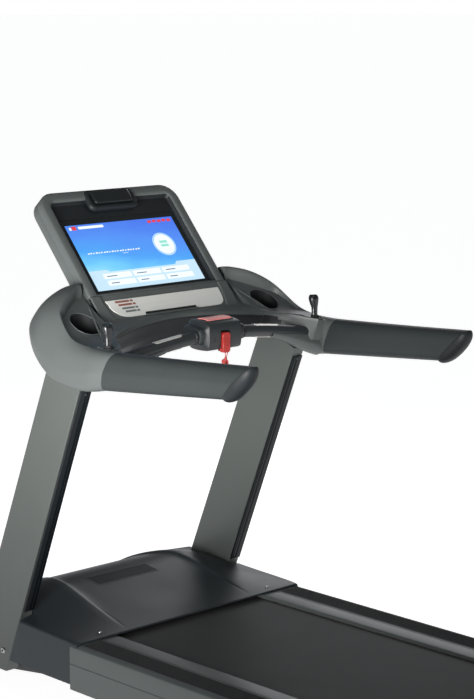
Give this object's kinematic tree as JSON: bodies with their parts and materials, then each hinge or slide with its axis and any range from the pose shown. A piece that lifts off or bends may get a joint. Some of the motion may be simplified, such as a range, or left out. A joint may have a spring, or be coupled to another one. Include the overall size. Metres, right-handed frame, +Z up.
{
  "type": "motorised treadmill",
  "caption": "Commercial motorised treadmill with leaning uprights, horseshoe console with touch display, long side grips, low motor hood and power incline.",
  "frame": {"origin": "on the floor, under the centre of the bounding box", "axes": "+Y the way the runner faces (towards the hood), +X to the runner's right, +Z up"},
  "size_m": [0.934, 2.21, 1.4585],
  "materials": {
    "powder_coated_frame": "black powder coat",
    "bright_steel": "turned steel",
    "black_rubber": "matte rubber",
    "belt_fabric": "fine-textured running belt",
    "deck_wood": "phenolic-faced board",
    "charcoal_shell": "fine-grained charcoal plastic",
    "black_plastic": "satin black plastic",
    "upright_paint": "grey metallic paint",
    "silver_panel": "satin silver panel",
    "pulse_steel": "polished steel",
    "display_face": "lit touch screen under black-bordered glass",
    "signal_red": "red plastic",
    "red_cord": "red braided cord",
    "motor_enamel": "enamelled motor can",
    "cast_aluminium": "finned heat sink"
  },
  "bodies": {
    "machine": {"frame_beam_left": "powder_coated_frame", "frame_beam_right": "powder_coated_frame", "motor_mount_frame": "powder_coated_frame", "lift_crossmember": "powder_coated_frame", "deck_crossmember_front": "powder_coated_frame", "deck_crossmember_rear": "powder_coated_frame", "front_roller_axle": "bright_steel", "rear_roller_axle": "bright_steel", "deck_cushion_left": "black_rubber", "deck_cushion_right": "black_rubber", "drive_belt": "black_rubber", "running_belt": "belt_fabric", "deck_board": "deck_wood", "console_arm_left": "charcoal_shell", "console_arm_right": "charcoal_shell", "grip_left": "charcoal_shell", "grip_right": "charcoal_shell", "console_base": "charcoal_shell", "display_housing": "charcoal_shell", "motor_hood": "charcoal_shell", "foot_rail_left": "black_plastic", "foot_rail_right": "black_plastic", "rear_cap_left": "black_plastic", "rear_cap_right": "black_plastic", "upright_trim_left": "black_plastic", "upright_trim_right": "black_plastic", "grip_cap_left": "black_plastic", "grip_cap_right": "black_plastic", "front_panel": "black_plastic", "power_inlet": "black_plastic", "crossbar": "black_plastic", "stop_pod": "black_plastic", "display_back_cover": "black_plastic", "sensor_pod": "black_plastic", "upright_left": "upright_paint", "upright_right": "upright_paint", "key_panel": "silver_panel", "pulse_plate_left": "pulse_steel", "pulse_plate_right": "pulse_steel", "display_glass": "display_face", "drive_motor": "motor_enamel", "motor_controller": "cast_aluminium"},
    "lift_arm": {"lift_frame": "powder_coated_frame"},
    "transport_wheel_l": {"transport_wheel_left": "black_rubber"},
    "transport_wheel_r": {"transport_wheel_right": "black_rubber"},
    "incline_actuator": {"incline_motor": "motor_enamel"},
    "incline_rod": {"incline_screw": "bright_steel"},
    "front_drum": {"front_roller": "bright_steel"},
    "rear_drum": {"rear_roller": "bright_steel"},
    "motor_rotor": {"motor_flywheel": "bright_steel"},
    "lever_incline": {"incline_lever": "black_plastic"},
    "lever_speed": {"speed_lever": "black_plastic"},
    "stop_knob": {"stop_button": "signal_red"},
    "key_and_lanyard": {"safety_key": "signal_red", "lanyard_cord": "red_cord", "lanyard_hank": "red_cord", "lanyard_clip": "black_plastic"},
    "power_rocker": {"power_switch": "black_rubber"},
    "foot_l": {"levelling_foot_left": "black_rubber"},
    "foot_r": {"levelling_foot_right": "black_rubber"}
  },
  "joints": [
    {"name": "incline", "type": "hinge", "parent": "machine", "child": "lift_arm", "pos_m": [0, 0.54, 0.097], "axis": [-1, 0, 0], "range_deg": [0, 32]},
    {"name": "transport_wheel_spin_left", "type": "hinge", "parent": "lift_arm", "child": "transport_wheel_l", "pos_m": [-0.36, 0.985, 0.035], "axis": [1, 0, 0], "continuous": true},
    {"name": "transport_wheel_spin_right", "type": "hinge", "parent": "lift_arm", "child": "transport_wheel_r", "pos_m": [0.36, 0.985, 0.035], "axis": [1, 0, 0], "continuous": true},
    {"name": "actuator_swing", "type": "hinge", "parent": "machine", "child": "incline_actuator", "pos_m": [0, 0.64, 0.225], "axis": [-1, 0, 0], "range_deg": [0, 14.7]},
    {"name": "screw_travel", "type": "slide", "parent": "incline_actuator", "child": "incline_rod", "axis": [0, 0.3428, -0.9394], "range_m": [0, 0.0714]},
    {"name": "front_roller_spin", "type": "hinge", "parent": "machine", "child": "front_drum", "pos_m": [0, 0.52, 0.167], "axis": [1, 0, 0], "continuous": true},
    {"name": "rear_roller_spin", "type": "hinge", "parent": "machine", "child": "rear_drum", "pos_m": [0, -1.045, 0.167], "axis": [1, 0, 0], "continuous": true},
    {"name": "motor_spin", "type": "hinge", "parent": "machine", "child": "motor_rotor", "pos_m": [0, 0.8, 0.19], "axis": [1, 0, 0], "continuous": true},
    {"name": "incline_lever_tilt", "type": "hinge", "parent": "machine", "child": "lever_incline", "pos_m": [-0.396, 0.339, 1.065], "axis": [1, 0, 0], "range_deg": [-10, 10], "stiffness_Nm_per_rad": 0.6},
    {"name": "speed_lever_tilt", "type": "hinge", "parent": "machine", "child": "lever_speed", "pos_m": [0.396, 0.339, 1.065], "axis": [1, 0, 0], "range_deg": [-10, 10], "stiffness_Nm_per_rad": 0.6},
    {"name": "stop_press", "type": "slide", "parent": "machine", "child": "stop_knob", "axis": [0, 0, 1], "range_m": [-0.0035, 0], "stiffness_N_per_m": 900, "springref_m": 0.001},
    {"name": "key_pull", "type": "slide", "parent": "machine", "child": "key_and_lanyard", "axis": [0, -1, 0], "range_m": [0, 0.045]},
    {"name": "power_rocker_tilt", "type": "hinge", "parent": "machine", "child": "power_rocker", "pos_m": [-0.198, 1.095, 0.086], "axis": [1, 0, 0], "range_deg": [-6, 6]},
    {"name": "foot_screw_left", "type": "slide", "parent": "machine", "child": "foot_l", "axis": [0, 0, 1], "range_m": [-0.015, 0]},
    {"name": "foot_screw_right", "type": "slide", "parent": "machine", "child": "foot_r", "axis": [0, 0, 1], "range_m": [-0.015, 0]}
  ],
  "couplings": [
    {"joint": "actuator_swing", "follows": "incline", "ratio": 0.44049},
    {"joint": "screw_travel", "follows": "incline", "m_per_rad": 0.12614},
    {"joint": "rear_roller_spin", "follows": "front_roller_spin", "ratio": 1},
    {"joint": "motor_spin", "follows": "front_roller_spin", "ratio": 2.1818}
  ]
}
